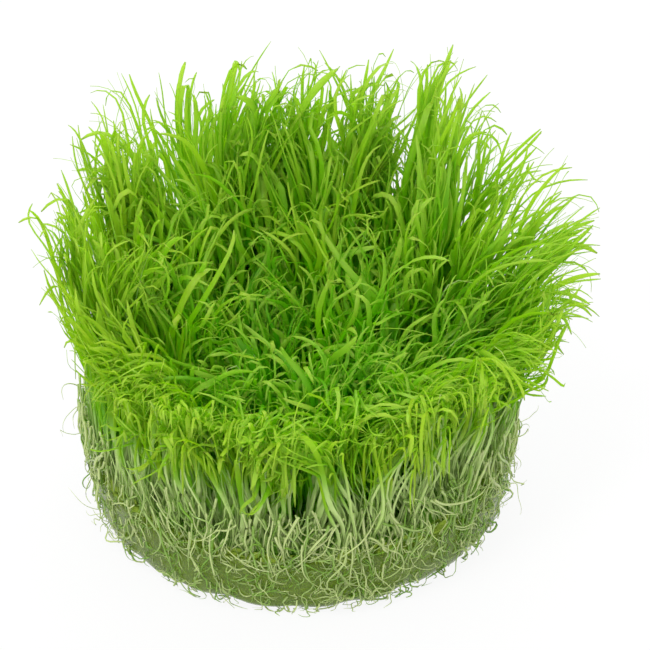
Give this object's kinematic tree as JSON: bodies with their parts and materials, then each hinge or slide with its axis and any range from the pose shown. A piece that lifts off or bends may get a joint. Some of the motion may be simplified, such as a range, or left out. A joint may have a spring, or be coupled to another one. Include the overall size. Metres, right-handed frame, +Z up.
{
  "type": "tissue culture bladderwort",
  "caption": "Tapered puck of clear culture gel carrying a mat of runners and a dense sward of narrow grass-like leaves, flared at the rim.",
  "frame": {"origin": "centre of the gel puck's flat underside", "axes": "+Z up along the puck's axis; -Y is the front, where the leaves flop over the edge; +X is the right seen from the front"},
  "size_m": [0.0961, 0.0906, 0.064],
  "materials": {
    "culture_gel": "clear grey-green gel, wet",
    "pale_runners": "pale white-green plant tissue",
    "green_leaves": "satin fresh green leaf, light passes through it"
  },
  "bodies": {
    "root": {"gel_puck": "culture_gel", "leaf_tuft_centre_01": "green_leaves", "leaf_tuft_centre_02": "green_leaves", "leaf_tuft_centre_03": "green_leaves", "leaf_tuft_centre_04": "green_leaves", "leaf_tuft_middle_01": "green_leaves", "leaf_tuft_middle_02": "green_leaves", "leaf_tuft_middle_03": "green_leaves", "leaf_tuft_middle_04": "green_leaves", "leaf_tuft_middle_05": "green_leaves", "leaf_tuft_middle_06": "green_leaves", "leaf_tuft_middle_07": "green_leaves", "leaf_tuft_middle_08": "green_leaves", "leaf_tuft_middle_09": "green_leaves", "leaf_tuft_rim_01": "green_leaves", "leaf_tuft_rim_02": "green_leaves", "leaf_tuft_rim_03": "green_leaves", "leaf_tuft_rim_04": "green_leaves", "leaf_tuft_rim_05": "green_leaves", "leaf_tuft_rim_06": "green_leaves", "leaf_tuft_rim_07": "green_leaves", "leaf_tuft_rim_08": "green_leaves", "leaf_tuft_rim_09": "green_leaves", "leaf_tuft_rim_10": "green_leaves", "leaf_tuft_rim_11": "green_leaves", "leaf_tuft_rim_12": "green_leaves", "leaf_tuft_rim_13": "green_leaves", "leaf_tuft_rim_14": "green_leaves", "leaf_tuft_rim_15": "green_leaves", "leaf_tuft_rim_16": "green_leaves", "leaf_tuft_rim_17": "green_leaves", "leaf_tuft_rim_18": "green_leaves", "leaf_tuft_rim_19": "green_leaves", "leaf_tuft_rim_20": "green_leaves", "leaf_tuft_shoulder_01": "green_leaves", "leaf_tuft_shoulder_02": "green_leaves", "leaf_tuft_shoulder_03": "green_leaves", "leaf_tuft_shoulder_04": "green_leaves", "leaf_tuft_shoulder_05": "green_leaves", "leaf_tuft_shoulder_06": "green_leaves", "leaf_tuft_shoulder_07": "green_leaves", "leaf_tuft_shoulder_08": "green_leaves", "leaf_tuft_shoulder_09": "green_leaves", "leaf_tuft_shoulder_10": "green_leaves", "leaf_tuft_shoulder_11": "green_leaves", "leaf_tuft_shoulder_12": "green_leaves", "leaf_tuft_shoulder_13": "green_leaves", "leaf_tuft_shoulder_14": "green_leaves", "stolon_mat": "pale_runners"}
  },
  "joints": []
}
